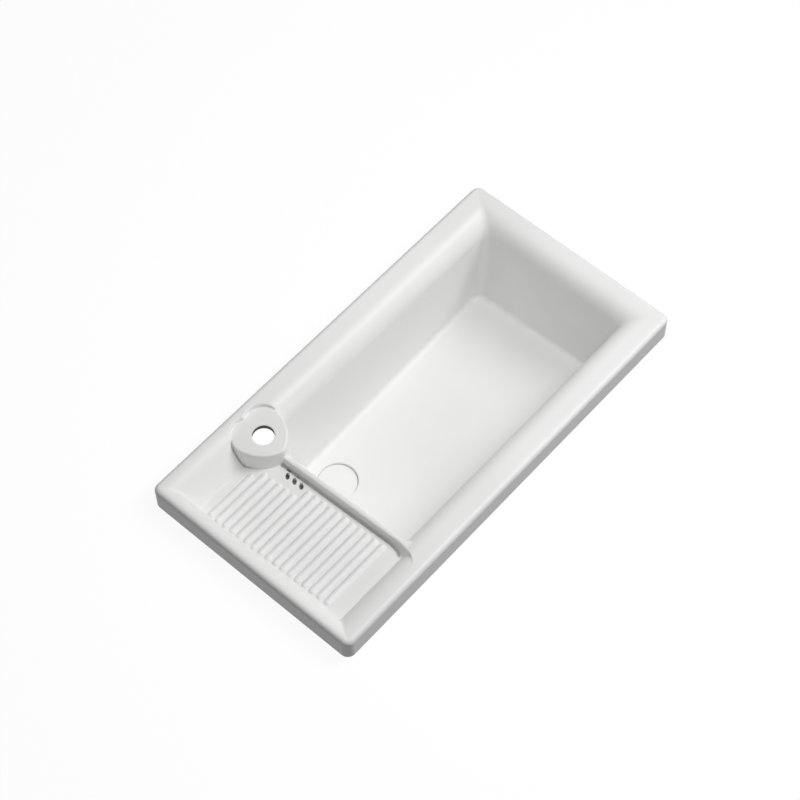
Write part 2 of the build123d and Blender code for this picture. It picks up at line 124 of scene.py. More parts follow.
# Weep holes and drain seat
WEEP_RADIUS, WEEP_ANGLE, WEEP_TURN = 3.3, 38.0, 38.0
WEEP_X, WEEP_FIRST_Y, WEEP_PITCH, WEEP_COUNT = -214.8, 75.0, 14.4, 3
WEEP_REACH, WEEP_EDGE = 30.0, 0.8
DRAIN_X, DRAIN_Y = -107.5, 75.0
RECESS_RADIUS, RECESS_EDGE = 33.4, 2.0
SEAT_Z, SEAT_THICKNESS, SEAT_FOOT = -163.0, 20.0, 1.5
BOSS_RADIUS, BOSS_TOP, BOSS_BLEND = 46.0, -153.0, 3.0
DRAIN_HOLE, DRAIN_EDGE = 23.0, 1.0

# Unglazed faces, given a dark tone that is painted shade: how far from a hole's wall they may lie,
# and how far below its mouth they start
PAINTED_SHADE_BAND = 0.2
PAINTED_SHADE_TAP_START, PAINTED_SHADE_WEEP_START = 1.3, 1.0

# Surface sampling, with half the step near the gutter, the holes and the tap deck. A block is
# sampled in full where the surface may pass through it: within its reach and a margin.
VOXEL = 2.0
GRID_X, GRID_Y, GRID_Z = (-382.0, 382.0), (-202.0, 202.0), (-184.0, 47.0)
FINE_X, FINE_Y, FINE_Z = (-248.0, -176.0), (40.0, 190.0), (-12.0, 46.0)
BLOCK = 8
BLOCK_REACH, BLOCK_MARGIN = 0.87, 4.0
BATCH = 60000
STEPS_TO_SURFACE = 4
LEAST_SLOPE, LEAST_NORMAL = 0.25, 1e-6
TINY, TINIER = 1e-9, 1e-12
FLATTEST, SHARPEST = -0.95, 0.999


# Distance fields. A field is negative inside the solid and positive outside, with its gradient.
class Field:
    def __init__(self, d, g):
        self.d = d
        self.g = g


def flip(f):
    return Field(-f.d, -f.g)


def shrink(f, by):
    return Field(f.d + by, f.g)


def either(f, g):
    """Union of two solids with a sharp inner edge."""
    first = f.d < g.d
    return Field(np.where(first, f.d, g.d), np.where(first, f.g, g.g))


def both(f, g):
    """What two solids share, with a sharp outer edge."""
    first = f.d > g.d
    return Field(np.where(first, f.d, g.d), np.where(first, f.g, g.g))


def join(f, g, radius):
    """Union of two solids with a true fillet in the inner edge, whatever their angle."""
    k = np.clip((f.g * g.g).sum(axis=0), FLATTEST, SHARPEST)
    w = 1 - k * k
    a = f.d - radius
    b = g.d - radius
    u = (a - k * b) / w
    v = (b - k * a) / w
    length = np.sqrt(np.maximum((a * a + b * b - 2 * k * a * b) / w, TINIER))
    inside = (u < 0) & (v < 0)
    sharp = either(f, g)
    d = np.where(inside, radius - length, sharp.d)
    return Field(d, np.where(inside, -(u * f.g + v * g.g) / length, sharp.g))


def trim(f, g, radius):
    """What two solids share, with a true rounding on the outer edge."""
    return flip(join(flip(f), flip(g), radius))


def plane(p, nx, ny, nz, at):
    """Half space below a plane through a point, with its normal pointing out of the solid."""
    size = (nx * nx + ny * ny + nz * nz) ** 0.5
    n = np.array([nx, ny, nz], dtype=p.dtype) / size
    d = n[0] * (p[0] - at[0]) + n[1] * (p[1] - at[1]) + n[2] * (p[2] - at[2])
    return Field(d, np.broadcast_to(n[:, None], p.shape))


def below(p, z):
    return plane(p, 0, 0, 1, (0, 0, z))


def above(p, z):
    return plane(p, 0, 0, -1, (0, 0, z))


def rolled(p, axis, edge, inward, strip, roll, draft):
    """Solid of one side of the rim: sloping strip, convex roll, drafted wall."""
    slope = radians(RIM_SLOPE)
    lean = radians(draft)
    s = inward * (p[axis] - edge) - (strip - roll * sin(slope))
    u = p[2] - APRON_HEIGHT + (strip - STRIP_START) * tan(slope) + roll * cos(slope)
    on_strip = sin(slope) * u - cos(slope) * s > 0
    on_wall = sin(lean) * s - cos(lean) * u > 0
    d_strip = sin(slope) * s + cos(slope) * u
    d_wall = cos(lean) * s + sin(lean) * u
    reach = np.sqrt(s * s + u * u + TINY)
    use_strip = (on_strip & ~on_wall) | (on_strip & on_wall & (d_strip > d_wall))
    use_wall = on_wall & ~use_strip
    d = np.where(use_strip, d_strip, np.where(use_wall, d_wall, reach)) - roll
    gs = np.where(use_strip, sin(slope), np.where(use_wall, cos(lean), s / reach))
    gu = np.where(use_strip, cos(slope), np.where(use_wall, sin(lean), u / reach))
    g = np.zeros_like(p)
    g[axis] = inward * gs
    g[2] = gu
    return Field(d, g)


def wall(p, position, inward, draft):
    """Solid of one side of the divider: a plane with draft through the board's front depth."""
    lean = radians(draft)
    return plane(p, inward * cos(lean), 0, sin(lean), (position, 0, APRON_HEIGHT - BOARD_DEPTH))


def bend(p, rise):
    """How far the divider's tray side turns to the left near the front, and the turn's slope."""
    run = np.clip(BEND_Y - BEND_SHIFT * rise - p[1], 0, BEND_RADIUS * BEND_LIMIT)
    reach = np.sqrt(BEND_RADIUS ** 2 - run * run)
    return BEND_RADIUS - reach, run / reach


def board_wall(p):
    """The divider's side towards the washboard, which leans over the board as the board falls."""
    lean = tan(radians(DIVIDER_BOARD_LEAN))
    fall = tan(radians(BOARD_SLOPE))
    rise = p[2] - board_z(p[1])
    shift, turn = bend(p, np.clip(rise, 0, DIVIDER_HEIGHT))
    foot = DIVIDER_X - DIVIDER_WIDTH / 2 - shift
    one = np.ones_like(rise)
    g = np.stack([-one, turn * (1 + BEND_SHIFT * fall) + lean * fall, turn * BEND_SHIFT + lean])
    size = np.sqrt((g * g).sum(axis=0))
    return Field((foot + lean * rise - p[0]) / size, g / size)


def gutter(p):
    """Everything around the channel along the divider's foot."""
    shift, turn = bend(p, 0)
    radius = GUTTER_WIDTH / 2
    x = p[0] - (DIVIDER_X - DIVIDER_WIDTH / 2 - shift - radius)
    along = np.sqrt(1 + turn * turn)
    side = x / along
    past = p[1] - np.clip(p[1], GUTTER_FRONT, GUTTER_BACK)
    down = np.minimum(p[2] - board_z(p[1]) + GUTTER_DEPTH - radius, 0)
    size = np.sqrt(side * side + past * past + down * down + TINY)
    gx = side / size / along
    gy = (past - side * turn / along) / size
    return Field(radius - size, -np.stack([gx, gy, down / size]))


def floor(p, x, y, depth, along, across):
    """Solid below a floor that falls along x and y, at a depth given at one point."""
    return plane(p, -tan(radians(along)), tan(radians(across)), 1, (x, y, APRON_HEIGHT - depth))


def recess(p, left, right, front, back, bottom, middle, left_radius, right_radius, foot):
    """Everything around a recess: four sides and a floor, with filleted corners and foot."""
    radius = np.where(p[0] < middle, left_radius, right_radius).astype(p.dtype)
    ring = join(either(left, right), either(front, back), radius)
    return join(ring, bottom, foot)


def heart(p):
    """Outline of the tap deck: two lobes with a notch, two flanks and a round tip."""
    x = p[0] - DECK_X
    y = p[1] - DECK_Y
    side = np.where(x < 0, -1.0, 1.0).astype(p.dtype)
    x = np.abs(x)
    lobe = Vector((LOBE_OFFSET, 0))
    tip = Vector((0, TIP_RADIUS - TIP_REACH))
    span = (lobe - tip).length
    near = FLANK_RADIUS - LOBE_RADIUS
    far = FLANK_RADIUS - TIP_RADIUS
    along = (span ** 2 + far ** 2 - near ** 2) / (2 * span)
    across = (far ** 2 - along ** 2) ** 0.5
    unit = (lobe - tip).normalized()
    flank = tip + unit * along + Vector((-unit.y, unit.x)) * across
    to_lobe = (lobe - flank).normalized()
    to_tip = (tip - flank).normalized()

    def circle(centre, radius):
        dx = x - centre[0]
        dy = y - centre[1]
        size = np.sqrt(dx * dx + dy * dy + TINY)
        return size - radius, dx / size, dy / size

    on_lobe = circle(lobe, LOBE_RADIUS)
    on_tip = circle(tip, TIP_RADIUS)
    on_flank = circle(flank, FLANK_RADIUS)
    dx = x - flank.x
    dy = y - flank.y
    past_lobe = to_lobe.x * dy - to_lobe.y * dx > 0
    past_tip = to_tip.x * dy - to_tip.y * dx < 0
    upper = unit.x * (x - flank.x) + unit.y * (y - flank.y) > 0
    use_lobe = past_lobe & upper
    use_tip = past_tip & ~upper
    d, gx, gy = [
        np.where(use_lobe, a, np.where(use_tip, b, c))
        for a, b, c in zip(on_lobe, on_tip, on_flank)
    ]
    other = circle(-lobe, LOBE_RADIUS)
    zero = np.zeros_like(d)
    return join(
        Field(d, np.stack([gx * side, gy, zero])),
        Field(other[0], np.stack([other[1] * side, other[2], zero])),
        NOTCH_RADIUS,
    )


def drafted(outline, p, depth, draft):
    """Upright solid on an outline that it has at one depth, wider below it."""
    lean = radians(draft)
    d = (outline.d - tan(lean) * (APRON_HEIGHT - depth - p[2])) * cos(lean)
    g = outline.g * cos(lean)
    g[2] = sin(lean)
    return Field(d, g)


def rounded_rect(p, half_x, half_y, radius):
    """Upright solid on a centred rectangle with round corners."""
    sx = np.sign(p[0])
    sy = np.sign(p[1])
    qx = np.abs(p[0]) - (half_x - radius)
    qy = np.abs(p[1]) - (half_y - radius)
    ox = np.maximum(qx, 0)
    oy = np.maximum(qy, 0)
    size = np.sqrt(ox * ox + oy * oy + TINIER)
    corner = (qx > 0) & (qy > 0)
    along_x = qx > qy
    d = np.where(corner, size, np.maximum(qx, qy)) - radius
    g = np.zeros_like(p)
    g[0] = sx * np.where(corner, ox / size, np.where(along_x, 1, 0))
    g[1] = sy * np.where(corner, oy / size, np.where(along_x, 0, 1))
    return Field(d, g)


def seam(p, column, inner):
    """Everything around the narrow channel between the deck's left flank and the back roll."""
    depth = SEAM_DEPTH * np.clip((p[1] - SEAM_FRONT) / SEAM_FRONT_FADE, 0, 1)
    depth = depth * np.clip((SEAM_BACK - p[1]) / SEAM_BACK_FADE, 0, 1)
    side = Field(SEAM_WIDTH / 2 - np.abs(column.d - SEAM_WIDTH / 2), column.g)
    side.g = np.where(column.d > SEAM_WIDTH / 2, -side.g, side.g)
    bottom = Field(inner.d + depth, inner.g)
    left = plane(p, 1, 0, 0, (DECK_X - SEAM_SIDE, 0, 0))
    return either(either(side, bottom), flip(left))


def bore(p, x, y, radius):
    """Everything around an upright round hole."""
    dx = p[0] - x
    dy = p[1] - y
    size = np.sqrt(dx * dx + dy * dy + TINY)
    return Field(radius - size, np.stack([-dx / size, -dy / size, np.zeros_like(size)]))


def board_plane(p, drop):
    """Solid below the washboard's floor, or below a plane that lies deeper by the drop."""
    return floor(p, DIVIDER_X, BOARD_Y, BOARD_DEPTH + drop, 0, BOARD_SLOPE)


def board_z(y):
    """Height of the washboard's floor."""
    return APRON_HEIGHT - BOARD_DEPTH - (y - BOARD_Y) * tan(radians(BOARD_SLOPE))


def ribs(p):
    """The nearest rib of the washboard: a sunk bar with round ends."""
    index = np.clip(np.rint((RIB_FIRST_Y - p[1]) / RIB_PITCH), 0, RIB_COUNT - 1)
    y = RIB_FIRST_Y - index * RIB_PITCH
    z = board_z(y) - (RIB_RADIUS - RIB_HEIGHT) / cos(radians(BOARD_SLOPE))
    cap = (RIB_RADIUS ** 2 - (RIB_RADIUS - RIB_HEIGHT) ** 2) ** 0.5
    end = np.array(RIB_ENDS, dtype=p.dtype)[index.astype(int)]
    dx = p[0] - np.clip(p[0], RIB_LEFT + cap, end - cap)
    dy = p[1] - y
    dz = p[2] - z
    size = np.sqrt(dx * dx + dy * dy + dz * dz + TINY)
    return Field(size - RIB_RADIUS, np.stack([dx, dy, dz]) / size)


def weep_holes(p):
    """Everything around the nearest slanted hole at the divider's foot. The holes end blind."""
    index = np.clip(np.rint((WEEP_FIRST_Y - p[1]) / WEEP_PITCH), 0, WEEP_COUNT - 1)
    y = WEEP_FIRST_Y - index * WEEP_PITCH
    dx = p[0] - WEEP_X
    dy = p[1] - y
    dz = p[2] - board_z(y)
    ax = cos(radians(WEEP_ANGLE)) * cos(radians(WEEP_TURN))
    ay = cos(radians(WEEP_ANGLE)) * sin(radians(WEEP_TURN))
    az = -sin(radians(WEEP_ANGLE))
    t = dx * ax + dy * ay + dz * az
    ex = dx - t * ax
    ey = dy - t * ay
    ez = dz - t * az
    size = np.sqrt(ex * ex + ey * ey + ez * ez + TINY)
    around = Field(WEEP_RADIUS - size, -np.stack([ex, ey, ez]) / size)
    sign = np.sign(t)
    ends = Field(WEEP_REACH - np.abs(t), np.stack([-sign * ax, -sign * ay, -sign * az]))
    return either(around, ends)


def basin(p):
    """The glazed body at points p, an array of three rows."""
    # Bowl, washboard tray, and the divider that both leave between them
    front_y, back_y = -RIM_WIDTH / 2, RIM_WIDTH / 2
    bowl_front = rolled(p, 1, front_y, 1, BOWL_STRIP, BOWL_ROLL, BOWL_DRAFT)
    bowl_back = rolled(p, 1, back_y, -1, BOWL_STRIP, BOWL_ROLL, BOWL_DRAFT)
    bowl = recess(
        p,
        wall(p, DIVIDER_X + DIVIDER_WIDTH / 2, 1, DIVIDER_BOWL_DRAFT),
        rolled(p, 0, RIM_LENGTH / 2, -1, END_STRIP, END_ROLL, END_DRAFT),
        bowl_front,
        bowl_back,
        floor(p, DRAIN_X, DRAIN_Y, BOWL_DEPTH, BOWL_FALL_ALONG, BOWL_FALL_ACROSS),
        BOWL_MIDDLE, BOWL_FLARE, BOWL_CORNER, BOWL_FOOT,
    )
    board = recess(
        p,
        rolled(p, 0, -RIM_LENGTH / 2, 1, LEFT_STRIP, LEFT_ROLL, LEFT_DRAFT),
        board_wall(p),
        rolled(p, 1, front_y, 1, BOARD_STRIP, BOARD_ROLL, BOARD_DRAFT),
        rolled(p, 1, back_y, -1, BACK_STRIP, BACK_ROLL, BACK_DRAFT),
        board_plane(p, 0),
        BOARD_MIDDLE, BOARD_CORNER, BOARD_FLARE, BOARD_FOOT,
    )
    top = join(bowl_front, board_plane(p, -DIVIDER_HEIGHT), DIVIDER_END_BLEND)
    top = join(top, bowl_back, DIVIDER_END_BLEND)
    away = np.maximum(np.abs(p[0] - DIVIDER_X) - DIVIDER_REACH, 0)
    top = Field(top.d - DIVIDER_FADE * away, top.g)
    board = trim(board, gutter(p), GUTTER_EDGE)
    inner = both(trim(board, top, DIVIDER_ROUND), trim(bowl, top, DIVIDER_ROUND))
    inner = join(inner, ribs(p), RIB_BLEND)

    # Tap deck: a column on the heart's outline, and a pocket above it in the back roll
    outline = heart(p)
    deck_z = APRON_HEIGHT - DECK_DEPTH
    deck = below(p, deck_z)
    column = trim(drafted(outline, p, DECK_DEPTH, DECK_DRAFT), deck, DECK_EDGE)
    channel = seam(p, column, inner)
    inner = trim(join(inner, column, DECK_FOOT), channel, SEAM_EDGE)
    pocket = join(flip(drafted(outline, p, DECK_DEPTH, -POCKET_DRAFT)), deck, POCKET_FOOT)
    inner = trim(inner, pocket, POCKET_EDGE)
    inner = trim(inner, weep_holes(p), WEEP_EDGE)

    # Rim and apron, hollow from below
    outside = rounded_rect(p, RIM_LENGTH / 2, RIM_WIDTH / 2, RIM_CORNER)
    upper = trim(outside, below(p, APRON_HEIGHT), RIM_EDGE)
    upper = trim(upper, inner, RIM_INNER_EDGE)

    inside_x, inside_y = RIM_LENGTH / 2 - APRON_WALL, RIM_WIDTH / 2 - APRON_WALL
    hollow = both(rounded_rect(p, inside_x, inside_y, HOLLOW_CORNER), below(p, HOLLOW_TOP))
    apron = trim(flip(hollow), above(p, 0), APRON_INNER_EDGE)
    apron = trim(apron, outside, APRON_OUTER_EDGE)

    # Underside: shells of the bowl, the tray and the deck, and the boss of the drain
    shell = either(shrink(flip(bowl), -BOWL_SHELL), shrink(flip(board), -BOARD_SHELL))
    shell_x, shell_y = inside_x + SHELL_OVERLAP, inside_y + SHELL_OVERLAP
    shell = both(shell, rounded_rect(p, shell_x, shell_y, HOLLOW_CORNER))
    plate_z = deck_z - DECK_THICKNESS
    plate = both(both(shrink(outline, -DECK_SHELL), deck), above(p, plate_z))
    boss = both(flip(bore(p, DRAIN_X, DRAIN_Y, BOSS_RADIUS)), below(p, BOSS_TOP))
    boss = both(boss, above(p, SEAT_Z - SEAT_THICKNESS))
    lower = either(either(apron, join(shell, boss, BOSS_BLEND)), plate)
    under = drafted(shrink(outline, DECK_SHELL), p, DECK_DEPTH + DECK_THICKNESS, DECK_DRAFT)
    under = both(under, below(p, plate_z))
    body = both(both(upper, lower), flip(under))

    # Drain seat, drain hole and tap hole
    seat = join(bore(p, DRAIN_X, DRAIN_Y, RECESS_RADIUS), below(p, SEAT_Z), SEAT_FOOT)
    body = trim(body, seat, RECESS_EDGE)
    body = trim(body, bore(p, DRAIN_X, DRAIN_Y, DRAIN_HOLE), DRAIN_EDGE)
    tap = either(bore(p, DECK_X, TAP_Y, TAP_RADIUS), below(p, plate_z - TAP_OVERRUN))
    return trim(body, tap, TAP_EDGE)


def evaluate(points):
    """The body's field at many points, in parts that fit the processor's cache."""
    d = np.empty(points.shape[1], dtype=points.dtype)
    g = np.empty_like(points)
    for start in range(0, points.shape[1], BATCH):
        part = basin(points[:, start:start + BATCH])
        d[start:start + BATCH] = part.d
        g[:, start:start + BATCH] = part.g
    return d, g


def grid_line(ends, fine):
    """Positions along one axis, in whole blocks, with half the step inside the fine stretch."""
    line = [ends[0]]
    while line[-1] < ends[1] or len(line) % BLOCK:
        step = VOXEL / 2 if fine[0] <= line[-1] < fine[1] else VOXEL
        line.append(line[-1] + step)
    return np.array(line)


def sampled_grid(lines):
    """The field on a grid, worked out only in the blocks near the surface."""
    blocks = [len(line) // BLOCK for line in lines]
    centre = np.stack(np.meshgrid(*[np.arange(n) for n in blocks], indexing="ij")).reshape(3, -1)
    middles = [line.reshape(-1, BLOCK).mean(axis=1) for line in lines]
    at = np.stack([middle[i] for middle, i in zip(middles, centre)])
    coarse, _ = evaluate(at.astype(np.float32))
    near = np.abs(coarse) < BLOCK_REACH * BLOCK * VOXEL + BLOCK_MARGIN
    local = np.stack(np.meshgrid(*[np.arange(BLOCK)] * 3, indexing="ij")).reshape(3, 1, -1)
    where = (centre[:, near][:, :, None] * BLOCK + local).reshape(3, -1)
    points = np.stack([line[i] for line, i in zip(lines, where)])
    fine, _ = evaluate(points.astype(np.float32))
    values = np.repeat(coarse.reshape(blocks), BLOCK, axis=0)
    values = np.repeat(np.repeat(values, BLOCK, axis=1), BLOCK, axis=2)
    values[where[0], where[1], where[2]] = fine
    return values


def surface_net(values):
    """Vertices, in grid steps, and quads of the zero surface."""
    inside = values < 0
    corner = inside.astype(np.int8)
    for axis in range(3):
        take = [slice(None)] * 3
        shift = [slice(None)] * 3
        take[axis] = slice(None, -1)
        shift[axis] = slice(1, None)
        corner = corner[tuple(take)] + corner[tuple(shift)]
    active = (corner > 0) & (corner < 8)
    cells = np.argwhere(active)
    index = np.full(active.shape, -1, dtype=np.int32)
    index[active] = np.arange(len(cells))
    total = np.zeros((len(cells), 3))
    count = np.zeros(len(cells))
    for axis in range(3):
        for a in (0, 1):
            for b in (0, 1):
                first = np.zeros(3, dtype=int)
                first[(axis + 1) % 3] = a
                first[(axis + 2) % 3] = b
                second = first.copy()
                second[axis] = 1
                f0 = values[tuple((cells + first).T)]
                f1 = values[tuple((cells + second).T)]
                crossed = (f0 < 0) != (f1 < 0)
                t = f0[crossed] / (f0[crossed] - f1[crossed])
                total[crossed] += first + t[:, None] * (second - first)
                count[crossed] += 1
    vertices = cells + total / count[:, None]
    quads = []
    for axis in range(3):
        b, c = (axis + 1) % 3, (axis + 2) % 3
        low = [slice(1, -1)] * 3
        high = [slice(1, -1)] * 3
        low[axis] = slice(0, -1)
        high[axis] = slice(1, None)
        one, two = inside[tuple(low)], inside[tuple(high)]
        found = np.argwhere(one != two)
        solid_first = one[tuple(found.T)]
        start = np.ones(3, dtype=int)
        start[axis] = 0
        edge = found + start
        ring = []
        for db, dc in ((-1, -1), (0, -1), (0, 0), (-1, 0)):
            cell = edge.copy()
            cell[:, b] += db
            cell[:, c] += dc
            ring.append(index[tuple(cell.T)])
        ring = np.stack(ring, axis=1)
        ring[~solid_first] = ring[~solid_first][:, ::-1]
        quads.append(ring)
    return vertices, np.concatenate(quads)


def mesh_object(name, vertices, quads, normals):
    """Smooth object from quads, with the field's own normals."""
    mesh = bpy.data.meshes.new(name)
    mesh.vertices.add(len(vertices))
    mesh.vertices.foreach_set("co", np.ascontiguousarray(vertices, dtype=np.float32).ravel())
    mesh.loops.add(quads.size)
    mesh.loops.foreach_set("vertex_index", quads.astype(np.int32).ravel())
    mesh.polygons.add(len(quads))
    mesh.polygons.foreach_set("loop_start", np.arange(0, quads.size, 4, dtype=np.int32))
    mesh.update(calc_edges=True)
    mesh.validate()
    mesh.polygons.foreach_set("use_smooth", np.ones(len(mesh.polygons), dtype=bool))
    mesh.normals_split_custom_set_from_vertices(normals.tolist())
    piece = bpy.data.objects.new(name, mesh)
    bpy.context.collection.objects.link(piece)
    return piece


def painted_shade_faces(mesh):
    """Which faces lie in the tap hole or a weep hole, below its mouth and short of the gutter:
    these take the dark unglazed tone that paints the holes' shade.
    """
    centres = np.empty(len(mesh.polygons) * 3)
    mesh.polygons.foreach_get("center", centres)
    p = centres.reshape(-1, 3).T / MM
    deck_z = APRON_HEIGHT - DECK_DEPTH
    in_tap = np.abs(bore(p, DECK_X, TAP_Y, TAP_RADIUS).d) < PAINTED_SHADE_BAND
    in_tap &= p[2] < deck_z - PAINTED_SHADE_TAP_START
    in_weep = np.abs(weep_holes(p).d) < PAINTED_SHADE_BAND
    in_weep &= p[2] < board_z(p[1]) - PAINTED_SHADE_WEEP_START
    in_weep &= p[0] < DIVIDER_X - DIVIDER_WIDTH / 2 - GUTTER_WIDTH - PAINTED_SHADE_BAND
    return in_tap | in_weep


def glazed_body():
    """The glazed body as a mesh whose points are moved onto the field's zero surface."""
    lines = [grid_line(GRID_X, FINE_X), grid_line(GRID_Y, FINE_Y), grid_line(GRID_Z, FINE_Z)]
    vertices, quads = surface_net(sampled_grid(lines))
    points = np.stack([
        np.interp(steps, np.arange(len(line)), line)
        for steps, line in zip(vertices.T, lines)
    ])
    for _ in range(STEPS_TO_SURFACE):
        d, g = evaluate(points)
        size = np.maximum((g * g).sum(axis=0), LEAST_SLOPE)
        points = points - np.clip(d / size, -VOXEL, VOXEL) * g
    _, g = evaluate(points)
    g /= np.maximum(np.sqrt((g * g).sum(axis=0)), LEAST_NORMAL)
    half = np.array([RIM_LENGTH / 2, RIM_WIDTH / 2])
    points[:2] = np.clip(points[:2], -half[:, None], half[:, None])
    points[2] = np.clip(points[2], SEAT_Z - SEAT_THICKNESS, APRON_HEIGHT)
    return mesh_object("basin_glazed", points.T * MM, quads, g.T)


# Materials
RAMP_LOW, RAMP_HIGH = 0.35, 0.65
SPREAD_LOW, SPREAD_HIGH = 0.3, 0.7
IOR = 1.5
COAT_ROUGHNESS = 0.05


def new_material(name):
    material = bpy.data.materials.new(name)
    material.use_nodes = True
    nodes = material.node_tree.nodes
    shader = nodes["Principled BSDF"]
    return material, nodes, material.node_tree.links, shader


def noise(nodes, links, coordinates, scale, detail=3.0):
    texture = nodes.new("ShaderNodeTexNoise")
    texture.inputs["Scale"].default_value = scale
    texture.inputs["Detail"].default_value = detail
    links.new(coordinates.outputs["Object"], texture.inputs["Vector"])
    return texture


def ramp(nodes, links, source, low, high):
    """Colour between two tones by a noise."""
    node = nodes.new("ShaderNodeValToRGB")
    node.color_ramp.elements[0].position = RAMP_LOW
    node.color_ramp.elements[1].position = RAMP_HIGH
    node.color_ramp.elements[0].color = (*low, 1)
    node.color_ramp.elements[1].color = (*high, 1)
    links.new(source.outputs["Fac"], node.inputs["Fac"])
    return node


def spread(nodes, links, source, low, high):
    """Number between two ends by a noise."""
    node = nodes.new("ShaderNodeMapRange")
    node.inputs["From Min"].default_value = SPREAD_LOW
    node.inputs["From Max"].default_value = SPREAD_HIGH
    node.inputs["To Min"].default_value = low
    node.inputs["To Max"].default_value = high
    links.new(source.outputs["Fac"], node.inputs["Value"])
    return node


def surface(name, low, high, roughness, scale, bump_scale, bump, metallic=0.0, coat=0.0,
            specular=0.5):
    """Material with slight changes of colour and roughness and a fine unevenness."""
    material, nodes, links, shader = new_material(name)
    coordinates = nodes.new("ShaderNodeTexCoord")
    broad = noise(nodes, links, coordinates, scale)
    fine = noise(nodes, links, coordinates, bump_scale, 2.0)
    links.new(ramp(nodes, links, broad, low, high).outputs["Color"], shader.inputs["Base Color"])
    links.new(
        spread(nodes, links, broad, roughness[0], roughness[1]).outputs["Result"],
        shader.inputs["Roughness"],
    )
    shader.inputs["Metallic"].default_value = metallic
    shader.inputs["Specular IOR Level"].default_value = specular
    shader.inputs["IOR"].default_value = IOR
    shader.inputs["Coat Weight"].default_value = coat
    shader.inputs["Coat Roughness"].default_value = COAT_ROUGHNESS
    relief = nodes.new("ShaderNodeBump")
    relief.inputs["Strength"].default_value = 1.0
    relief.inputs["Distance"].default_value = bump
    links.new(fine.outputs["Fac"], relief.inputs["Height"])
    links.new(relief.outputs["Normal"], shader.inputs["Normal"])
    return material


glaze = surface("glaze", (0.87, 0.87, 0.865), (0.90, 0.90, 0.895), (0.28, 0.36), 5.0,
                bump_scale=90.0, bump=0.00003, specular=0.25)
# Unglazed ceramic for the holes' bores: its dark tone is painted shade for their depth, darker
# than the bare body is
unglazed_painted_shade = surface("unglazed_ceramic_painted_shade", (0.20, 0.19, 0.18), (0.27, 0.26, 0.25), (0.70, 0.85), 60.0,
              bump_scale=700.0, bump=0.00002)
cap_glaze = surface("cap_glaze", (0.86, 0.86, 0.855), (0.89, 0.89, 0.885), (0.20, 0.26), 20.0,
                    bump_scale=120.0, bump=0.00002, coat=0.1)
chrome = surface("chrome_finish", (0.62, 0.62, 0.63), (0.70, 0.70, 0.71), (0.08, 0.16), 60.0,
                 metallic=1.0, bump_scale=900.0, bump=0.000004)
brass = surface("brass_turned", (0.60, 0.44, 0.20), (0.70, 0.53, 0.26), (0.25, 0.38), 90.0,
                metallic=1.0, bump_scale=1500.0, bump=0.00001)
rubber = surface("rubber_black", (0.018, 0.018, 0.018), (0.035, 0.035, 0.034), (0.6, 0.75), 120.0,
                 bump_scale=1800.0, bump=0.00003)
acetal = surface("acetal_grey", (0.42, 0.43, 0.44), (0.50, 0.51, 0.52), (0.35, 0.48), 70.0,
                 bump_scale=1200.0, bump=0.00001)
spring_steel = surface("spring_steel_wire", (0.45, 0.45, 0.46), (0.58, 0.58, 0.60), (0.2, 0.32),
                       150.0, metallic=1.0, bump_scale=2500.0, bump=0.000005)

finishes = {
    "waste_body": chrome,
    "back_nut": chrome,
    "waste_cap": cap_glaze,
    "cap_holder": brass,
    "cap_stem": brass,
    "cap_seal": rubber,
    "basket_o_ring": rubber,
    "flange_gasket": rubber,
    "cone_gasket": rubber,
    "click_cam": acetal,
    "click_sleeve": acetal,
    "strainer_basket": acetal,
    "slip_washer": acetal,
    "click_spring": spring_steel,
}
for node, finish in finishes.items():
    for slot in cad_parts[node].material_slots:
        slot.material = finish

body_piece = glazed_body()
body_piece.data.materials.append(glaze)
body_piece.data.materials.append(unglazed_painted_shade)
# The faces inside the holes take the dark unglazed material, which is painted shade
shaded_hole_faces = painted_shade_faces(body_piece.data)
body_piece.data.polygons.foreach_set("material_index", shaded_hole_faces.astype(np.int32))
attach(body_piece, "basin")
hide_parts("basin_body")


# Stage: a white counter with the basin's cut-out, and a white floor under it
CUT_X, CUT_Y, STAGE_REACH = 0.366, 0.186, 6.0
FLOOR_Z = -0.32
STAGE_TONE = 0.10
COUNTER_GLOW, FLOOR_GLOW = 0.92, 1.0


def math_node(nodes, operation):
    node = nodes.new("ShaderNodeMath")
    node.operation = operation
    return node


def seen_rays(nodes, links):
    """1 for a ray from the camera, a reflection or a transmission, and 0 for the others."""
    path = nodes.new("ShaderNodeLightPath")
    seen = math_node(nodes, "MAXIMUM")
    links.new(path.outputs["Is Camera Ray"], seen.inputs[0])
    links.new(path.outputs["Is Glossy Ray"], seen.inputs[1])
    also = math_node(nodes, "MAXIMUM")
    links.new(seen.outputs[0], also.inputs[0])
    links.new(path.outputs["Is Transmission Ray"], also.inputs[1])
    return also.outputs[0]


def stage_material(name, glow):
    """White to the eye, and dark enough to send little light back to the basin."""
    material, nodes, links, shader = new_material(name)
    nodes.remove(shader)
    diffuse = nodes.new("ShaderNodeBsdfDiffuse")
    diffuse.inputs["Color"].default_value = (STAGE_TONE, STAGE_TONE, STAGE_TONE, 1)
    emission = nodes.new("ShaderNodeEmission")
    level = math_node(nodes, "MULTIPLY")
    level.inputs[1].default_value = glow
    links.new(seen_rays(nodes, links), level.inputs[0])
    links.new(level.outputs[0], emission.inputs["Strength"])
    both_shaders = nodes.new("ShaderNodeAddShader")
    links.new(diffuse.outputs[0], both_shaders.inputs[0])
    links.new(emission.outputs[0], both_shaders.inputs[1])
    links.new(both_shaders.outputs[0], nodes["Material Output"].inputs["Surface"])
    return material


def stage_object(name, vertices, faces, material):
    mesh = bpy.data.meshes.new(name)
    mesh.from_pydata(vertices, [], faces)
    mesh.materials.append(material)
    piece = bpy.data.objects.new(name, mesh)
    bpy.context.collection.objects.link(piece)


def rectangle(half_x, half_y, z):
    return [(-half_x, -half_y, z), (half_x, -half_y, z), (half_x, half_y, z), (-half_x, half_y, z)]


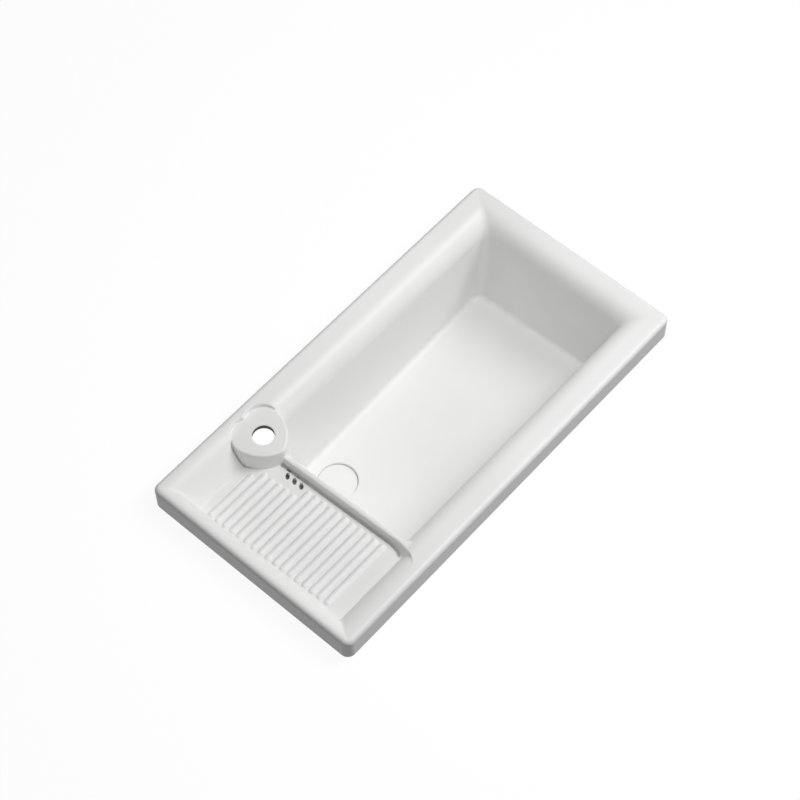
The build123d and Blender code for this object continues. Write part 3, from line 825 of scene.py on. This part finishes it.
stage_object(
    "counter",
    rectangle(CUT_X, CUT_Y, 0) + rectangle(STAGE_REACH, STAGE_REACH, 0),
    [(i, 4 + i, 4 + (i + 1) % 4, (i + 1) % 4) for i in range(4)],
    stage_material("counter_white", COUNTER_GLOW),
)
stage_object(
    "lower_floor",
    rectangle(STAGE_REACH, STAGE_REACH, FLOOR_Z),
    [(0, 1, 2, 3)],
    stage_material("lower_white", FLOOR_GLOW),
)


# Light: a large key light, a softbox over the bowl, and a world that looks white and lights less
KEY_SIZE, KEY_ENERGY, KEY_AT = 1.6, 45.0, (2.03, -1.17, 2.60)
SOFTBOX_SIZE, SOFTBOX_ENERGY, SOFTBOX_AT = 0.7, 6.2, (0.2, -0.35, 1.2)
WORLD_LIGHT, WORLD_LOOK = 0.25, 1.0


def area_light(name, size, energy, location):
    """Round light that points at the middle of the basin and isn't seen itself."""
    data = bpy.data.lights.new(name, "AREA")
    data.shape = "DISK"
    data.size = size
    data.energy = energy
    light = bpy.data.objects.new(name, data)
    light.location = location
    light.rotation_euler = (-Vector(location)).to_track_quat("-Z", "Y").to_euler()
    light.visible_camera = False
    bpy.context.collection.objects.link(light)


area_light("key", KEY_SIZE, KEY_ENERGY, KEY_AT)
area_light("softbox", SOFTBOX_SIZE, SOFTBOX_ENERGY, SOFTBOX_AT)

world = bpy.data.worlds.new("studio")
world.use_nodes = True
bpy.context.scene.world = world
tree = world.node_tree
light_part = tree.nodes["Background"]
light_part.inputs["Color"].default_value = (1, 1, 1, 1)
light_part.inputs["Strength"].default_value = WORLD_LIGHT
seen_part = tree.nodes.new("ShaderNodeBackground")
seen_part.inputs["Color"].default_value = (1, 1, 1, 1)
seen_part.inputs["Strength"].default_value = WORLD_LOOK
mix = tree.nodes.new("ShaderNodeMixShader")
tree.links.new(seen_rays(tree.nodes, tree.links), mix.inputs[0])
tree.links.new(light_part.outputs[0], mix.inputs[1])
tree.links.new(seen_part.outputs[0], mix.inputs[2])
tree.links.new(mix.outputs[0], tree.nodes["World Output"].inputs["Surface"])

# Camera: the photograph's view
CAMERA_AT = (-1.34213, -1.17184, 2.94785)
CAMERA_TURN, CAMERA_FALL, CAMERA_ROLL = 41.957, 58.439, -0.695
CAMERA_LENS, CAMERA_SENSOR = 99.594, 36.0

forward_turn, forward_fall = radians(CAMERA_TURN), radians(CAMERA_FALL)
roll = radians(CAMERA_ROLL)
forward = Vector((
    cos(forward_fall) * cos(forward_turn),
    cos(forward_fall) * sin(forward_turn),
    -sin(forward_fall),
))
level_right = forward.cross(Vector((0, 0, 1))).normalized()
level_up = level_right.cross(forward)
right = level_right * cos(roll) + level_up * sin(roll)
up = right.cross(forward)
camera_data = bpy.data.cameras.new("camera")
camera_data.lens = CAMERA_LENS
camera_data.sensor_width = CAMERA_SENSOR
camera_data.sensor_fit = "HORIZONTAL"
camera = bpy.data.objects.new("camera", camera_data)
turn = Matrix((right, up, -forward)).transposed().to_4x4()
camera.matrix_world = Matrix.Translation(Vector(CAMERA_AT)) @ turn
bpy.context.collection.objects.link(camera)
bpy.context.scene.camera = camera
bpy.context.scene.view_settings.view_transform = "Standard"
